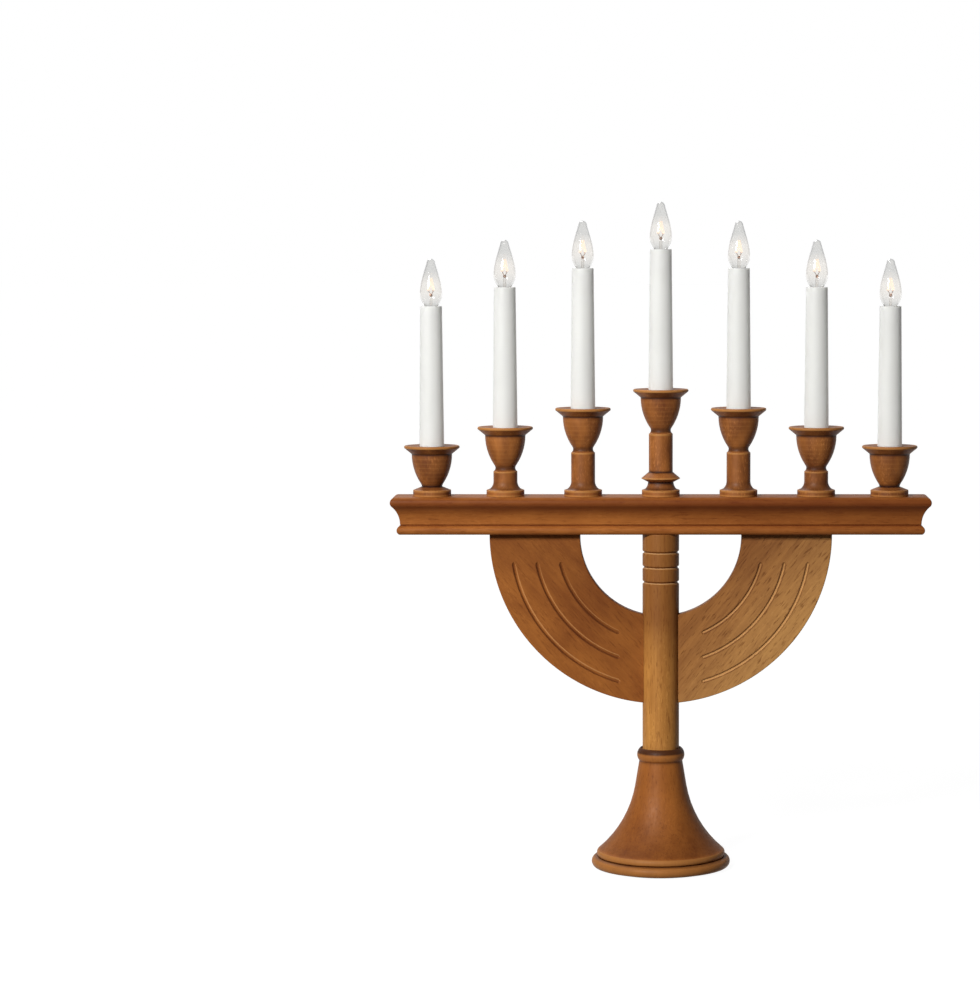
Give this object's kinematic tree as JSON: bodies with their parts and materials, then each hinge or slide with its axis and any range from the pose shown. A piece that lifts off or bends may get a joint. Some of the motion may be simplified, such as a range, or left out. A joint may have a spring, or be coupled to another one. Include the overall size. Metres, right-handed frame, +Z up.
{
  "type": "candle arch",
  "caption": "Electric candle stand: turned foot and column, half-ring panels and a moulded rail with stepped turned cups, white candle tubes and screw-in flame lamps.",
  "frame": {"origin": "middle of the foot's felt underside, on the table", "axes": "+Z up along the column, +X along the rail, -Y towards the viewer"},
  "size_m": [0.4006, 0.1038, 0.4975],
  "materials": {
    "stained_wood": "satin stained",
    "felt": "felt",
    "screw_steel": "zinc plated",
    "candle_plastic": "semi gloss",
    "holder_plastic": "moulded",
    "brass": "bright",
    "lamp_glass": "clear",
    "filament_metal": "wire",
    "wire_insulation": "insulation"
  },
  "bodies": {
    "stand": {"foot_felt": "felt", "foot": "stained_wood", "foot_screw": "screw_steel", "column": "stained_wood", "rail": "stained_wood", "channel_covers": "stained_wood", "panel_left": "stained_wood", "panel_right": "stained_wood", "side_contacts": "brass", "wiring": "wire_insulation", "cup_1": "stained_wood", "cup_2": "stained_wood", "cup_3": "stained_wood", "cup_4": "stained_wood", "cup_5": "stained_wood", "cup_6": "stained_wood", "cup_7": "stained_wood", "candle_1": "candle_plastic", "candle_2": "candle_plastic", "candle_3": "candle_plastic", "candle_4": "candle_plastic", "candle_5": "candle_plastic", "candle_6": "candle_plastic", "candle_7": "candle_plastic", "lamp_holder_1": "holder_plastic", "lamp_holder_2": "holder_plastic", "lamp_holder_3": "holder_plastic", "lamp_holder_4": "holder_plastic", "lamp_holder_5": "holder_plastic", "lamp_holder_6": "holder_plastic", "lamp_holder_7": "holder_plastic"},
    "plunger_1": {"contact_plunger_1": "brass"},
    "lamp_1": {"lamp_glass_1": "lamp_glass", "lamp_cap_1": "brass", "lamp_filament_1": "filament_metal"},
    "plunger_2": {"contact_plunger_2": "brass"},
    "lamp_2": {"lamp_glass_2": "lamp_glass", "lamp_cap_2": "brass", "lamp_filament_2": "filament_metal"},
    "plunger_3": {"contact_plunger_3": "brass"},
    "lamp_3": {"lamp_glass_3": "lamp_glass", "lamp_cap_3": "brass", "lamp_filament_3": "filament_metal"},
    "plunger_4": {"contact_plunger_4": "brass"},
    "lamp_4": {"lamp_glass_4": "lamp_glass", "lamp_cap_4": "brass", "lamp_filament_4": "filament_metal"},
    "plunger_5": {"contact_plunger_5": "brass"},
    "lamp_5": {"lamp_glass_5": "lamp_glass", "lamp_cap_5": "brass", "lamp_filament_5": "filament_metal"},
    "plunger_6": {"contact_plunger_6": "brass"},
    "lamp_6": {"lamp_glass_6": "lamp_glass", "lamp_cap_6": "brass", "lamp_filament_6": "filament_metal"},
    "plunger_7": {"contact_plunger_7": "brass"},
    "lamp_7": {"lamp_glass_7": "lamp_glass", "lamp_cap_7": "brass", "lamp_filament_7": "filament_metal"}
  },
  "joints": [
    {"name": "plunger_lift_1", "type": "slide", "parent": "stand", "child": "plunger_1", "axis": [0, 0, 1], "range_m": [0, 0.00363]},
    {"name": "lamp_turn_1", "type": "hinge", "parent": "plunger_1", "child": "lamp_1", "pos_m": [-0.1702, 0, 0.4205], "axis": [0, 0, 1], "range_deg": [0, 720]},
    {"name": "plunger_lift_2", "type": "slide", "parent": "stand", "child": "plunger_2", "axis": [0, 0, 1], "range_m": [0, 0.00363]},
    {"name": "lamp_turn_2", "type": "hinge", "parent": "plunger_2", "child": "lamp_2", "pos_m": [-0.1156, 0, 0.4345], "axis": [0, 0, 1], "range_deg": [0, 720]},
    {"name": "plunger_lift_3", "type": "slide", "parent": "stand", "child": "plunger_3", "axis": [0, 0, 1], "range_m": [0, 0.00363]},
    {"name": "lamp_turn_3", "type": "hinge", "parent": "plunger_3", "child": "lamp_3", "pos_m": [-0.0578, 0, 0.4485], "axis": [0, 0, 1], "range_deg": [0, 720]},
    {"name": "plunger_lift_4", "type": "slide", "parent": "stand", "child": "plunger_4", "axis": [0, 0, 1], "range_m": [0, 0.00363]},
    {"name": "lamp_turn_4", "type": "hinge", "parent": "plunger_4", "child": "lamp_4", "pos_m": [0, 0, 0.4625], "axis": [0, 0, 1], "range_deg": [0, 720]},
    {"name": "plunger_lift_5", "type": "slide", "parent": "stand", "child": "plunger_5", "axis": [0, 0, 1], "range_m": [0, 0.00363]},
    {"name": "lamp_turn_5", "type": "hinge", "parent": "plunger_5", "child": "lamp_5", "pos_m": [0.0578, 0, 0.4485], "axis": [0, 0, 1], "range_deg": [0, 720]},
    {"name": "plunger_lift_6", "type": "slide", "parent": "stand", "child": "plunger_6", "axis": [0, 0, 1], "range_m": [0, 0.00363]},
    {"name": "lamp_turn_6", "type": "hinge", "parent": "plunger_6", "child": "lamp_6", "pos_m": [0.1156, 0, 0.4345], "axis": [0, 0, 1], "range_deg": [0, 720]},
    {"name": "plunger_lift_7", "type": "slide", "parent": "stand", "child": "plunger_7", "axis": [0, 0, 1], "range_m": [0, 0.00363]},
    {"name": "lamp_turn_7", "type": "hinge", "parent": "plunger_7", "child": "lamp_7", "pos_m": [0.1702, 0, 0.4205], "axis": [0, 0, 1], "range_deg": [0, 720]}
  ],
  "couplings": [
    {"joint": "plunger_lift_1", "follows": "lamp_turn_1", "m_per_rad": 0.00028871},
    {"joint": "plunger_lift_2", "follows": "lamp_turn_2", "m_per_rad": 0.00028871},
    {"joint": "plunger_lift_3", "follows": "lamp_turn_3", "m_per_rad": 0.00028871},
    {"joint": "plunger_lift_4", "follows": "lamp_turn_4", "m_per_rad": 0.00028871},
    {"joint": "plunger_lift_5", "follows": "lamp_turn_5", "m_per_rad": 0.00028871},
    {"joint": "plunger_lift_6", "follows": "lamp_turn_6", "m_per_rad": 0.00028871},
    {"joint": "plunger_lift_7", "follows": "lamp_turn_7", "m_per_rad": 0.00028871}
  ]
}
